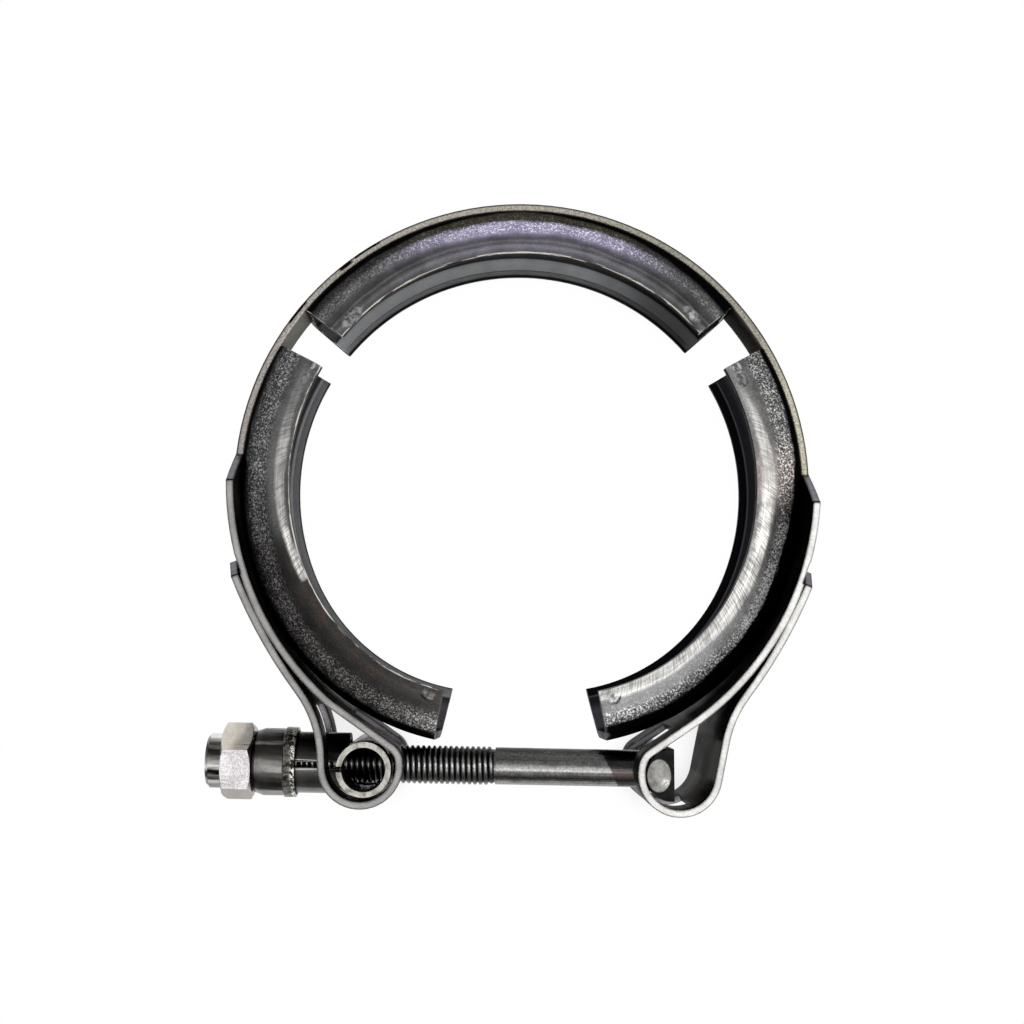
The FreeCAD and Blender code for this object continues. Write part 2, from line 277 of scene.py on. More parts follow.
# A place's radius in the ring with the curl taken out, its height in degrees, and its length along the ring.
def ringPlace(tree, x, y):
    side = sizeOf(tree, x)
    reach = ring["inner"] - ring["curlRadius"]
    across = math.cos(math.radians(ring["curlStart"]))
    rise = math.sin(math.radians(ring["curlStart"]))
    curled = lengthOf(tree, plus(tree, side, reach * across), minus(tree, y, reach * rise))
    curled = plus(tree, curled, reach)
    past = dot(tree, (y, side), (across, rise))
    radius = blend(tree, ramp(tree, past, 0.0, 0.5), lengthOf(tree, x, y), curled)
    height = heightAt(tree, x, y)
    return radius, height, times(tree, height, ring["perDegree"])


# The strap. Colours are as they show, places are in mm, and heights and nicks are in degrees. A noise is
# given as its scale per mm, detail, roughness, warp and stretch.
strapLook = {
    "thick": 1.15,
    "round": 0.6,
    "roundSamples": 6,
    "edgeTint": 0.3,
    "insideLeft": (66, 65, 66),
    "insideRight": (58, 57, 58),
    "gapLeft": (126, 125, 118),
    "gapRight": (54, 53, 51),
    "outside": (150, 147, 145),
    "loop": (68, 65, 63),
    "slant": (142, 139, 145),
    "line": (84, 81, 76),
    "nick": (12, 12, 12),
    "narrow": (160, 154, 149),
    "narrowSteps": (
        {"over": (-38.0, -18.0), "tone": (158, 153, 143)},
        {"over": (6.0, 20.0), "tone": (148, 145, 133)},
        {"over": (38.0, 45.5), "tone": (184, 180, 162)},
    ),
    "narrowCurve": ((0.0, 1.3), (0.22, 1.25), (0.38, 0.95), (0.62, 1.05), (0.9, 0.8), (1.15, 0.6)),
    "wideLeft": ((0.1, 16), (0.70, 18), (0.8, 36), (0.88, 78), (0.95, 118), (0.99, 146), (1.0, 164)),
    "wideRight": ((0.1, 12), (0.70, 14), (0.8, 30), (0.88, 96), (0.94, 176), (0.98, 224), (1.0, 236)),
    "nicks": (
        {"from": 120.4, "to": 126.6, "deep": 0.36},
        {"from": 127.2, "to": 130.6, "deep": 0.62},
        {"from": 139.6, "to": 145.4, "deep": 0.42},
    ),
    "rightOver": (-2.0, 6.0),
    "narrowHalf": (4.8, 5.2),
    "shoulder": (5.2, 12.1),
    "gapFrom": (26.0, 32.0),
    "gapTo": (41.0, 46.0),
    "loopBelow": (-34.0, -28.0),
    "lineOver": (0.98, 1.14),
    "cloud": (0.12, 4),
    "patches": (0.22, 4, 0.6),
    "grain": (3.4, 3, 0.65),
    "fine": (9.0, 2, 0.6),
    "lines": (1.4, 4, 0.6, 0.0, (0.12, 0.12, 5.0)),
}


# What the strap's parts share. The level is 1 where the rounded surface looks along the ring's axis.
def readStrap(tree, look):
    where, x, y, z = place(tree)
    rounded = put(tree, "Bevel", {"samples": look["roundSamples"]}, Radius=look["round"] * mm).outputs[0]
    tall = sizeOf(tree, z)
    return SimpleNamespace(
        where=where, x=x, y=y, tall=tall, rounded=rounded,
        height=heightAt(tree, x, y),
        level=sizeOf(tree, put(tree, "SeparateXYZ", Vector=rounded).outputs[2]),
        narrow=fall(tree, tall, *look["narrowHalf"]),
        right=ramp(tree, x, *look["rightOver"]),
        cloud=noise(tree, where, *look["cloud"]),
        grain=noise(tree, where, *look["grain"]),
        fine=noise(tree, where, *look["fine"]),
        lines=noise(tree, where, *look["lines"]),
    )


# The broad faces: inside the ring, in the gaps between the segments, outside, and round the loops. The inside
# faces are darker than the outside and darker on the right than on the left, and the loops' insides are darker
# still, all painted shade.
def strapFaces(tree, look, at):
    nx, ny = facing(tree)[:2]
    gap = times(tree, ramp(tree, at.height, *look["gapFrom"]), fall(tree, at.height, *look["gapTo"]))
    gapTone = blendColour(tree, at.right, tone(*look["gapLeft"]), tone(*look["gapRight"]))
    inside = blendColour(tree, at.right, tone(*look["insideLeft"]), tone(*look["insideRight"]))
    inside = blendColour(tree, gap, inside, gapTone)
    inside = scaled(tree, inside, varied(tree, at.cloud, 0.8, 1.3))
    outside = scaled(tree, tone(*look["outside"]), varied(tree, at.lines, 0.8, 1.25, 0.15))
    outward = dot(tree, (nx, ny), (at.x, at.y))
    face = blendColour(tree, ramp(tree, outward, -4.0, 4.0), inside, outside)
    sideways = times(tree, nx, maths(tree, "SIGN", at.x))
    loop = times(tree, fall(tree, at.y, *look["loopBelow"]), ramp(tree, sideways, 0.75, 0.95, (1.0, 0.2)))
    loopTone = scaled(tree, tone(*look["loop"]), varied(tree, at.cloud, 0.7, 1.4))
    return blendColour(tree, loop, face, loopTone)


# The narrow edge over the top: tones from left to right that are painted light, a dark outer line and a light
# inner side that are painted shade and highlight of its rounded corners, grain and the nicks.
def strapNarrowEdge(tree, look, at):
    across = minus(tree, lengthOf(tree, at.x, at.y), ring["inner"])
    edge = tone(*look["narrow"])
    for step in look["narrowSteps"]:
        edge = blendColour(tree, ramp(tree, at.x, *step["over"]), edge, tone(*step["tone"]))
    line = ramp(tree, plus(tree, across, times(tree, at.grain, 0.3)), *look["lineOver"])
    edge = blendColour(tree, times(tree, line, 0.9), edge, tone(*look["line"]))
    edge = scaled(tree, edge, curve(tree, across, look["narrowCurve"]))
    edge = scaled(tree, edge, varied(tree, at.grain, 0.6, 1.34, 0.18))
    edge = scaled(tree, edge, ramp(tree, at.level, 0.7, 0.85, (0.4, 1.0)))

    angle = times(tree, maths(tree, "ARCTAN2", at.y, at.x), math.degrees(1))
    ragged = plus(tree, across, wobble(tree, at.grain, 0.5))
    dented = 0.0
    for nick in look["nicks"]:
        depth = minus(tree, ragged, look["thick"] - nick["deep"])
        along = between(tree, angle, nick["from"] + 0.6, nick["to"] - 0.6, 0.8)
        dented = maths(tree, "MAXIMUM", dented, times(tree, along, ramp(tree, depth, -0.08, 0.08)))
    dented = times(tree, dented, at.narrow)
    return blendColour(tree, dented, edge, tone(*look["nick"])), dented


# The wide edges: light on top and dark where their rounded corners turn away, in painted highlight and shade,
# and lighter on the right in painted light.
def strapWideEdge(tree, look, at):
    left = greyBands(tree, at.level, look["wideLeft"], (1.0, 0.98, 0.95))
    right = greyBands(tree, at.level, look["wideRight"], (1.0, 0.99, 0.96))
    edge = blendColour(tree, at.right, left, right)
    edge = scaled(tree, edge, varied(tree, noise(tree, at.where, *look["patches"]), 0.82, 1.12, 0.18))
    return scaled(tree, edge, varied(tree, at.grain, 0.9, 1.08, 0.16))


def makeStrapSteel(look):
    material, tree = newMaterial("strap_steel")
    at = readStrap(tree, look)
    narrowEdge, dented = strapNarrowEdge(tree, look, at)
    edge = blendColour(tree, at.narrow, strapWideEdge(tree, look, at), narrowEdge)
    slant = scaled(tree, tone(*look["slant"]), varied(tree, at.lines, 0.7, 1.3))
    slanted = times(tree, ramp(tree, at.level, 0.22, 0.4), between(tree, at.tall, *look["shoulder"], 0.3))
    edge = blendColour(tree, slanted, edge, slant)
    colour = blendColour(tree, ramp(tree, at.level, 0.08, 0.3), strapFaces(tree, look, at), edge)

    faceRough = varied(tree, at.cloud, 0.28, 0.42)
    edgeRough = varied(tree, at.grain, 0.26, 0.40)
    rough = blend(tree, ramp(tree, at.level, 0.3, 0.8), faceRough, edgeRough)
    normal = bump(tree, at.fine, 0.03, 0.25, at.rounded)
    normal = bump(tree, at.lines, 0.03, 0.2, normal)
    normal = bump(tree, times(tree, at.grain, at.narrow), 0.10, 0.45, normal)
    normal = bump(tree, times(tree, dented, -1.0), 0.3, 0.8, normal)
    finishSteel(tree, colour, rough, normal, look["edgeTint"])
    return material


# The V segments. Tones run by radius in mm from the rim outwards, streaks and shade by the height in degrees.
# The top, left and right segments' different tones, and their darkening towards the strap, are painted light
# and shade.
insertLook = {
    "edgeTint": 0.5,
    "top": (
        (37.8, 60), (38.4, 70), (39.2, 96), (40.0, 68), (40.4, 96), (40.7, 64), (41.6, 78), (42.6, 98),
        (43.4, 92), (44.0, 58), (44.5, 46), (45.4, 38), (46.4, 12),
    ),
    "left": (
        (37.8, 80), (38.6, 84), (40.2, 98), (41.0, 96), (41.8, 82), (42.6, 86), (43.4, 86), (44.2, 78),
        (45.0, 58), (46.4, 20),
    ),
    "leftLow": (
        (37.8, 52), (38.6, 56), (39.8, 58), (41.0, 48), (41.8, 52), (42.6, 74), (43.4, 68), (44.2, 50),
        (45.0, 38), (46.4, 12),
    ),
    "right": (
        (37.8, 110), (38.6, 130), (40.2, 120), (41.0, 106), (41.8, 106), (42.6, 116), (43.4, 114), (44.4, 100),
        (46.4, 60),
    ),
    "rightLow": (
        (37.8, 120), (38.6, 168), (39.4, 172), (40.2, 146), (41.0, 142), (41.8, 150), (42.6, 150), (43.4, 118),
        (46.4, 60),
    ),
    "innerTop": (
        (37.9, 12), (38.3, 20), (38.45, 66), (38.6, 104), (38.85, 106), (38.95, 132), (39.1, 112), (40.5, 120),
        (41.0, 112), (41.2, 30), (42.6, 62), (46.4, 66),
    ),
    "innerLeft": (
        (37.9, 16), (38.15, 30), (38.3, 92), (39.55, 104), (39.75, 60), (39.9, 30), (41.4, 60), (46.4, 66),
    ),
    "innerRight": (
        (37.9, 6), (38.5, 11), (39.3, 12), (39.5, 58), (39.7, 24), (40.6, 26), (42.0, 54), (46.4, 62),
    ),
    "shadeTop": ((-36, 45.0), (-20, 45.0), (0, 45.7), (20, 44.9), (36, 43.9)),
    "shadeLeft": ((-74, 45.3), (-46, 45.3), (-30, 45.3), (-20, 45.7), (-6, 45.9), (10, 45.6), (34, 45.6)),
    "shadeRight": (
        (-74, 43.9), (-58, 43.9), (-42, 43.6), (-26, 43.65), (-10, 44.0), (-2, 44.4), (6, 44.9), (22, 45.1),
        (34, 45.2),
    ),
    "streakLeft": {
        "centre": ((-28, 38.5), (-22, 38.8), (-14, 39.3), (-6, 39.7), (10, 39.6), (26, 40.1), (34, 40.3)),
        "strength": (
            (-24.6, 0.0), (-23.4, 1.0), (-14, 0.9), (-6, 0.42), (10, 0.4), (16, 0.2), (26, 0.1), (30, 0.0),
        ),
        "half": ((-28, 0.6), (-14, 0.6), (-6, 0.7), (10, 0.85), (30, 0.5)),
    },
    "streakRight": {
        "centre": (
            (-76, 38.9), (-42, 39.0), (-26, 39.5), (-10, 39.9), (-2, 40.2), (10, 40.0), (16, 39.6), (24, 38.8),
        ),
        "strength": (
            (-76, 0.6), (-42, 0.72), (-26, 1.0), (-10, 1.0), (-3, 0.66), (6, 0.46), (14, 0.56), (19, 0.4),
            (24.5, 0.0),
        ),
        "half": ((-76, 1.0), (-42, 1.1), (-26, 1.4), (-10, 1.2), (-2, 1.3), (10, 1.0), (18, 0.6), (24, 0.35)),
    },
    "streak": (234, 232, 228),
    "warm": (160, 150, 146),
    "glow": (166, 160, 184),
    "brown": (62, 50, 45),
    "olive": (64, 61, 50),
    "dark": (7, 7, 8),
    "cut": (26, 25, 26),
    "endEdgeHighlight": (196, 194, 196),
    "rimLine": (226, 222, 212),
    "marks": (
        {"at": (-28.3, 27.0), "long": 2.4, "wide": 1.25, "tone": 138},
        {"at": (27.9, 28.1), "long": 2.1, "wide": 1.1, "tone": 158},
        {"at": (-35.7, 17.2), "long": 1.6, "wide": 0.8, "tone": 134},
        {"at": (-34.5, 19.1), "long": 0.9, "wide": 0.6, "tone": 150},
        {"at": (35.0, 19.3), "long": 1.3, "wide": 0.9, "tone": 174},
        {"at": (35.9, 17.2), "long": 1.2, "wide": 0.9, "tone": 128},
        {"at": (-15.2, -34.4), "long": 1.5, "wide": 0.9, "tone": 124},
        {"at": (14.4, -34.9), "long": 1.2, "wide": 0.9, "tone": 214},
    ),
    "rightOver": (-0.5, 0.5),
    "topAbove": (33.5, 35.5),
    "leftLowBelow": (-16.0, -8.0),
    "leftEnd": (-66.0, -50.0),
    "leftBoostBelow": (-3.0, 5.0),
    "leftBoost": {"over": (42.3, 45.2), "gain": 3.2},
    "rightLowBelow": (-28.0, -16.0),
    "rightBoostAt": (-34.0, -12.0, 7.0),
    "rightBoost": {"over": (41.6, 43.6), "gain": 2.2},
    "warmAt": (-2.0, 5.0, 6.0),
    "patch": {"slope": 0.9, "start": -39.4, "above": (-24.0, -10.0), "beyond": (40.7, 41.0), "dim": 0.26},
    "glowReach": (8.0, 27.0),
    "glowFrom": (41.0, 42.6),
    "glowTo": (43.5, 44.3),
    "oliveReach": (14.0, 26.0),
    "oliveFrom": (43.9, 44.3),
    "brownBelow": (-30.0, -22.0),
    "brownAt": (38.6, 40.6, 0.6),
    "ruggedFrom": (41.4, 42.6),
    "ruggedTo": (44.8, 45.8),
    "hiddenTop": (8.0, 28.0),
    "rimWithin": (38.2, 38.42),
    "rimEnds": (24.0, 34.0),
    "wander": (0.16, 3),
    "cloud": (0.35, 4),
    "pebble": (3.2, 3, 0.6, 0.6),
    "fine": (7.0, 2, 0.6),
    "ridges": (1.1, 4, 0.62),
    "streaks": (1.5, 4, 0.6, 0.0, (2.4, 0.16, 1.0)),
    "hatch": (2.4, 2, 0.5),
    "hatchSlope": (1.6, 0.2),
}


# What the segments' parts share: places, masks and noises. The radius is also given with a ragged edge.
def readInsert(tree, look):
    where, x, y, z = place(tree)
    nx, ny, nz = facing(tree)
    radius, height, length = ringPlace(tree, x, y)
    turned = sizeOf(tree, minus(tree, times(tree, ny, x), times(tree, nx, y)))
    turned = maths(tree, "DIVIDE", turned, lengthOf(tree, x, y))  # 1 on a face that closes a segment's end
    lean, pace = look["hatchSlope"]
    slope = vectorOf(tree, plus(tree, radius, times(tree, length, lean)), times(tree, length, pace))
    wander = noise(tree, where, *look["wander"])
    streaks = noise(tree, vectorOf(tree, radius, length, z), *look["streaks"])
    ragged = plus(tree, radius, wobble(tree, wander, 0.8))
    ragged = plus(tree, ragged, wobble(tree, streaks, 0.7))
    rising = ramp(tree, ragged, *look["ruggedFrom"], (0.12, 1.0))
    return SimpleNamespace(
        where=where, x=x, y=y, radius=radius, height=height, ragged=ragged, wander=wander, streaks=streaks,
        right=ramp(tree, x, *look["rightOver"]),
        topPiece=ramp(tree, height, *look["topAbove"]),
        outside=ramp(tree, times(tree, nz, maths(tree, "SIGN", z)), 0.10, 0.30),
        endFace=ramp(tree, turned, 0.70, 0.88),
        endEdge=times(tree, ramp(tree, turned, 0.15, 0.35), fall(tree, turned, 0.70, 0.88)),
        rugged=times(tree, rising, ramp(tree, ragged, *look["ruggedTo"], (1.0, 0.2))),
        cloud=noise(tree, where, *look["cloud"]),
        pebble=noise(tree, where, *look["pebble"]),
        fine=noise(tree, where, *look["fine"]),
        hatch=noise(tree, slope, *look["hatch"]),
    )


# The left segment's tones are painted light and shade: darker on its lower part, lighter towards its lower
# end, and lifted near the strap below the middle with painted light against the shadow that the strap casts.
def leftSegment(tree, look, at):
    upper = greyBands(tree, at.ragged, look["left"])
    lower = greyBands(tree, at.ragged, look["leftLow"], (1.0, 0.96, 0.94))
    colour = blendColour(tree, fall(tree, at.height, *look["leftLowBelow"]), upper, lower)
    colour = scaled(tree, colour, ramp(tree, at.height, *look["leftEnd"], (1.5, 1.0)))
    boost = ramp(tree, at.ragged, *look["leftBoost"]["over"], (1.0, look["leftBoost"]["gain"]))
    return scaled(tree, colour, blend(tree, ramp(tree, at.height, *look["leftBoostBelow"]), boost, 1.0))


# The right segment's tones are painted light and shade: lighter on its lower part, lifted near the strap with
# painted light against the shadow that the strap casts, and darker beyond a slanted line in a painted
# reflection. A band round its middle is warmer.
def rightSegment(tree, look, at):
    upper = greyBands(tree, at.ragged, look["right"], (1.0, 0.985, 0.98))
    lower = greyBands(tree, at.ragged, look["rightLow"])
    colour = blendColour(tree, fall(tree, at.height, *look["rightLowBelow"]), upper, lower)
    boost = ramp(tree, at.ragged, *look["rightBoost"]["over"], (0.0, look["rightBoost"]["gain"]))
    boost = times(tree, between(tree, at.height, *look["rightBoostAt"]), boost)
    colour = scaled(tree, colour, plus(tree, 1.0, boost))
    warm = times(tree, between(tree, at.height, *look["warmAt"]), 0.5)
    colour = blendColour(tree, warm, colour, tone(*look["warm"]))
    spec = look["patch"]
    crossing = minus(tree, maths(tree, "MULTIPLY_ADD", at.x, spec["slope"], spec["start"]), at.y)
    patch = times(tree, ramp(tree, crossing, -0.15, 0.15), ramp(tree, at.height, *spec["above"]))
    patch = times(tree, patch, ramp(tree, at.radius, *spec["beyond"]))
    return scaled(tree, colour, without(tree, times(tree, patch, spec["dim"])))


# The top segment: a purple-grey painted highlight across its middle, and painted shade in an olive tone on its
# outer part next to the strap.
def topSegment(tree, look, at):
    colour = greyBands(tree, at.ragged, look["top"], (1.0, 0.99, 1.0))
    reach = sizeOf(tree, minus(tree, at.x, 1.0))
    glow = times(tree, fall(tree, reach, *look["glowReach"]), fall(tree, at.ragged, *look["glowTo"]))
    glow = times(tree, glow, ramp(tree, at.ragged, *look["glowFrom"], (0.1, 1.0)))
    colour = blendColour(tree, glow, colour, tone(*look["glow"]))
    olive = times(tree, ramp(tree, at.ragged, *look["oliveFrom"]), fall(tree, reach, *look["oliveReach"]))
    return blendColour(tree, times(tree, olive, 0.7), colour, tone(*look["olive"]))


# The rolled scale of the flanges: bright sparks that are painted glints, and dark pits, livelier on the right
# and calmer on top.
def pebbleFactor(tree, at):
    lively = blend(tree, at.topPiece, blend(tree, at.right, 1.0, 1.25), 0.5)
    spark = times(tree, ramp(tree, at.pebble, 0.53, 0.61), at.rugged, lively)
    pit = times(tree, fall(tree, at.pebble, 0.38, 0.49), at.rugged, lively)
    factor = times(tree, plus(tree, 1.0, times(tree, spark, 3.0)), without(tree, times(tree, pit, 0.62)))
    factor = times(tree, factor, varied(tree, at.cloud, 0.8, 1.22), varied(tree, at.fine, 0.86, 1.16))
    return maths(tree, "MAXIMUM", factor, 0.1)


# The streaks that a flange has rubbed bright on the two lower segments.
def wornStreaks(tree, look, at):
    worn = 0.0
    for name, side in (("streakLeft", without(tree, at.right)), ("streakRight", at.right)):
        streak = look[name]
        off = sizeOf(tree, minus(tree, at.ragged, curve(tree, at.height, streak["centre"])))
        share = minus(tree, curve(tree, at.height, streak["half"]), off)
        mask = times(tree, ramp(tree, share, -0.3, 0.3), curve(tree, at.height, streak["strength"]), side)
        worn = plus(tree, worn, mask)
    return times(tree, worn, without(tree, at.topPiece))


def polishTone(tree, look, at):
    shine = ramp(tree, at.hatch, 0.36, 0.62, (0.5, 1.15))
    shine = times(tree, shine, ramp(tree, at.streaks, 0.36, 0.6, (0.66, 1.15)))
    shine = times(tree, shine, ramp(tree, at.cloud, 0.34, 0.6, (0.75, 1.1)))
    return scaled(tree, tone(*look["streak"]), maths(tree, "MINIMUM", shine, 1.15))


# Painted shade next to the strap.
def shadeMask(tree, look, at):
    left = curve(tree, at.height, look["shadeLeft"])
    right = curve(tree, at.height, look["shadeRight"])
    start = blend(tree, at.topPiece, blend(tree, at.right, left, right), curve(tree, at.x, look["shadeTop"]))
    return ramp(tree, minus(tree, at.ragged, start), -0.3, 0.2)


def segmentFlange(tree, look, at, worn):
    colour = blendColour(tree, at.right, leftSegment(tree, look, at), rightSegment(tree, look, at))
    colour = blendColour(tree, at.topPiece, colour, topSegment(tree, look, at))
    brown = times(tree, fall(tree, at.height, *look["brownBelow"]), fall(tree, at.x, -1.0, 0.0))
    brown = times(tree, brown, between(tree, at.ragged, *look["brownAt"]))
    brown = times(tree, brown, ramp(tree, at.cloud, 0.40, 0.64, (0.0, 0.7)))
    colour = blendColour(tree, brown, colour, tone(*look["brown"]))
    colour = scaled(tree, colour, pebbleFactor(tree, at))
    colour = blendColour(tree, worn, colour, polishTone(tree, look, at))
    colour = blendColour(tree, shadeMask(tree, look, at), colour, tone(*look["dark"]))
    # A painted highlight along the rim, broken up and fading out far to the right.
    rimLine = times(tree, fall(tree, at.radius, *look["rimWithin"]), ramp(tree, at.streaks, 0.44, 0.56))
    rimLine = times(tree, rimLine, fall(tree, at.x, *look["rimEnds"]))
    return blendColour(tree, rimLine, colour, tone(*look["rimLine"]))


# The side that looks into the groove: darker deeper in, in painted shade, with thin painted highlights near
# the rim. The right end of the top segment lies in painted shade.
def segmentInside(tree, look, at):
    left = greyBands(tree, at.radius, look["innerLeft"], (1.0, 1.0, 1.06))
    right = greyBands(tree, at.radius, look["innerRight"], (1.0, 1.0, 1.2))
    top = greyBands(tree, at.radius, look["innerTop"], (1.0, 1.02, 1.05))
    top = scaled(tree, top, ramp(tree, at.x, *look["hiddenTop"], (1.0, 0.24)))
    colour = blendColour(tree, at.topPiece, blendColour(tree, at.right, left, right), top)
    return scaled(tree, colour, varied(tree, at.fine, 0.9, 1.1))


# The places near the segments' ends where they were pinched: an oval each, long along the ring. The light and
# dark across each mark's ridges are painted light and shade of the dent.
def pinchMarks(tree, look, at, colour, ridges):
    dent = 0.0
    wander = wobble(tree, at.wander, 1.5)
    for mark in look["marks"]:
        size = math.hypot(*mark["at"])
        ux, uy = mark["at"][0] / size, mark["at"][1] / size
        inward = maths(tree, "DIVIDE", minus(tree, dot(tree, (at.x, at.y), (ux, uy)), size), mark["wide"])
        aside = maths(tree, "DIVIDE", dot(tree, (at.x, at.y), (-uy, ux)), mark["long"])
        away = plus(tree, lengthOf(tree, inward, aside), wander)
        mask = times(tree, fall(tree, away, 0.55, 1.05), at.outside)
        face = scaled(tree, tone(mark["tone"]), ramp(tree, ridges, 0.38, 0.62, (1.25, 0.3)))
        colour = blendColour(tree, mask, colour, face)
        dent = maths(tree, "MAXIMUM", dent, mask)
    return colour, dent


def makeInsertSteel(look):
    material, tree = newMaterial("insert_steel")
    at = readInsert(tree, look)
    worn = wornStreaks(tree, look, at)
    flange = segmentFlange(tree, look, at, worn)
    colour = blendColour(tree, at.outside, segmentInside(tree, look, at), flange)
    # A painted highlight, broken up, along the segments' end edges.
    endHighlight = times(tree, at.endEdge, ramp(tree, at.cloud, 0.42, 0.56))
    colour = blendColour(tree, endHighlight, colour, tone(*look["endEdgeHighlight"]))
    cut = scaled(tree, tone(*look["cut"]), varied(tree, at.cloud, 0.6, 1.6))
    colour = blendColour(tree, at.endFace, colour, cut)
    ridges = noise(tree, at.where, *look["ridges"])
    colour, dent = pinchMarks(tree, look, at, colour, ridges)

    rough = blend(tree, worn, varied(tree, at.cloud, 0.30, 0.44), 0.28)
    normal = bump(tree, at.pebble, 0.16, times(tree, at.rugged, 0.8))
    normal = bump(tree, at.fine, 0.03, 0.3, normal)
    normal = bump(tree, times(tree, at.hatch, worn), 0.08, 0.5, normal)
    normal = bump(tree, times(tree, ridges, dent), 0.5, 0.7, normal)
    finishSteel(tree, colour, rough, normal, look["edgeTint"])
    return material


# The bolt's line, as the CAD has it: from the head's centre to the trunnion's, and the direction across it.
boltLine = {"head": (23.1, -46.8), "trunnion": (-25.4, -45.75)}
boltRun = boltLine["head"][0] - boltLine["trunnion"][0]
boltDrop = boltLine["head"][1] - boltLine["trunnion"][1]
boltLong = math.hypot(boltRun, boltDrop)
boltAcross = (-boltDrop / boltLong, boltRun / boltLong)


# How far a face looks across the bolt's line: 1 towards the ring and -1 away from it.
def boltFacing(tree):
    return dot(tree, facing(tree)[:2], boltAcross)


# How far a place lies off the bolt's line towards the ring, in mm.
def boltOffset(tree, x, y):
    middle = boltLine["trunnion"][0] * boltAcross[0] + boltLine["trunnion"][1] * boltAcross[1]
    return minus(tree, dot(tree, (x, y), boltAcross), middle)


# On the bolt's line, tones run by how far a face looks across it, in bands that are painted reflections.
trunnionLook = {
    "sleeve": (
        (-1.0, 118), (-0.80, 112), (-0.74, 46), (-0.6, 50), (-0.35, 70), (-0.20, 92), (-0.15, 225),
        (-0.10, 60), (0.05, 40), (0.12, 215), (0.16, 66), (0.3, 46), (0.5, 32), (0.7, 20), (0.92, 10),
        (1.0, 22),
    ),
    "inside": (30, 28, 27),
    "rim": (196, 193, 184),
    "rimDark": (140, 137, 130),
    "rimAbove": (12.3, 12.5),
    "boreWithin": (3.5, 3.7),
    "cloud": (0.3, 4, 0.6),
    "grit": (3.4, 3, 0.6),
    "patches": (0.7, 3),
}


def makeTrunnionSteel(look):
    material, tree = newMaterial("trunnion_steel")
    where, x, y, z = place(tree)
    nz = facing(tree)[2]
    cloud = noise(tree, where, *look["cloud"])
    grit = noise(tree, where, *look["grit"])
    sleeve = greyBands(tree, boltFacing(tree), look["sleeve"], (1.0, 0.985, 0.96))
    # The bore's dark inside is painted shade.
    inside = fall(tree, distanceFrom(tree, x, y, boltLine["trunnion"]), *look["boreWithin"])
    body = blendColour(tree, inside, sleeve, tone(*look["inside"]))
    body = scaled(tree, body, varied(tree, cloud, 0.75, 1.3))
    patches = ramp(tree, noise(tree, where, *look["patches"]), 0.35, 0.6)
    rimTone = blendColour(tree, patches, tone(*look["rimDark"]), tone(*look["rim"]))
    rimTone = scaled(tree, rimTone, varied(tree, grit, 0.85, 1.15))
    rim = times(tree, ramp(tree, sizeOf(tree, z), *look["rimAbove"]), ramp(tree, sizeOf(tree, nz), 0.5, 0.9))
    colour = blendColour(tree, rim, body, rimTone)
    finishSteel(tree, colour, varied(tree, cloud, 0.22, 0.36), bump(tree, grit, 0.04, 0.35))
    return material


boltLook = {
    "shank": (
        (-1.0, 110), (-0.86, 150), (-0.74, 100), (-0.58, 40), (-0.42, 84), (-0.26, 128), (-0.1, 190),
        (0.07, 158), (0.2, 100), (0.38, 64), (0.55, 84), (0.70, 120), (0.82, 60), (1.0, 44),
    ),
    "crest": (
        (-1.0, 170), (-0.85, 110), (-0.6, 58), (-0.35, 84), (-0.1, 160), (0.05, 214), (0.2, 126), (0.5, 78),
        (0.8, 52), (1.0, 44),
    ),
    "patch": (36, 34, 34),
    "patchLow": (84, 74, 70),
    "patchFrom": (14.6, 14.9),
    "root": (20, 19, 20),
    "crestOver": (2.82, 3.10),
    "threadFrom": (-4.9, -4.6),
    "head": (30, 29, 29),
    "headAbove": (5.0, 6.0),
    "facet": (156, 155, 151),
    "facetAt": 21.0,
    "facetSquash": 0.73,
    "facetWithin": (1.75, 1.95),
    "spot": (246, 246, 244),
    "spotAt": (22.0, -47.9),
    "cloud": (0.45, 4, 0.65),
    "grit": (2.6, 3, 0.6),
}


# The plain shank, in bands that are painted reflections, with a painted shade that has a slanted edge next to
# the head.
def shankTone(tree, look, at):
    colour = greyBands(tree, at.wavy, look["shank"], (1.0, 0.985, 0.97))
    colour = scaled(tree, colour, varied(tree, at.grit, 0.74, 1.25, 0.18))
    slanting = plus(tree, at.x, times(tree, at.off, 0.5))
    patch = times(tree, ramp(tree, plus(tree, slanting, at.cloud), *look["patchFrom"]), 0.88)
    low = between(tree, at.across, -0.4, -0.1, 0.2)
    patchTone = blendColour(tree, low, tone(*look["patch"]), tone(*look["patchLow"]))
    patchTone = scaled(tree, patchTone, ramp(tree, at.across, 0.0, 0.5, (1.0, 0.12)))
    return blendColour(tree, patch, colour, patchTone)


# The thread: crests in bands that are painted reflections, and dark roots that are painted shade.
def threadTone(tree, look, at):
    crest = greyBands(tree, at.wavy, look["crest"], (1.0, 0.99, 0.97))
    onCrest = ramp(tree, lengthOf(tree, at.off, at.z), *look["crestOver"])
    colour = blendColour(tree, onCrest, tone(*look["root"]), crest)
    return scaled(tree, colour, varied(tree, at.grit, 0.7, 1.3, 0.18))


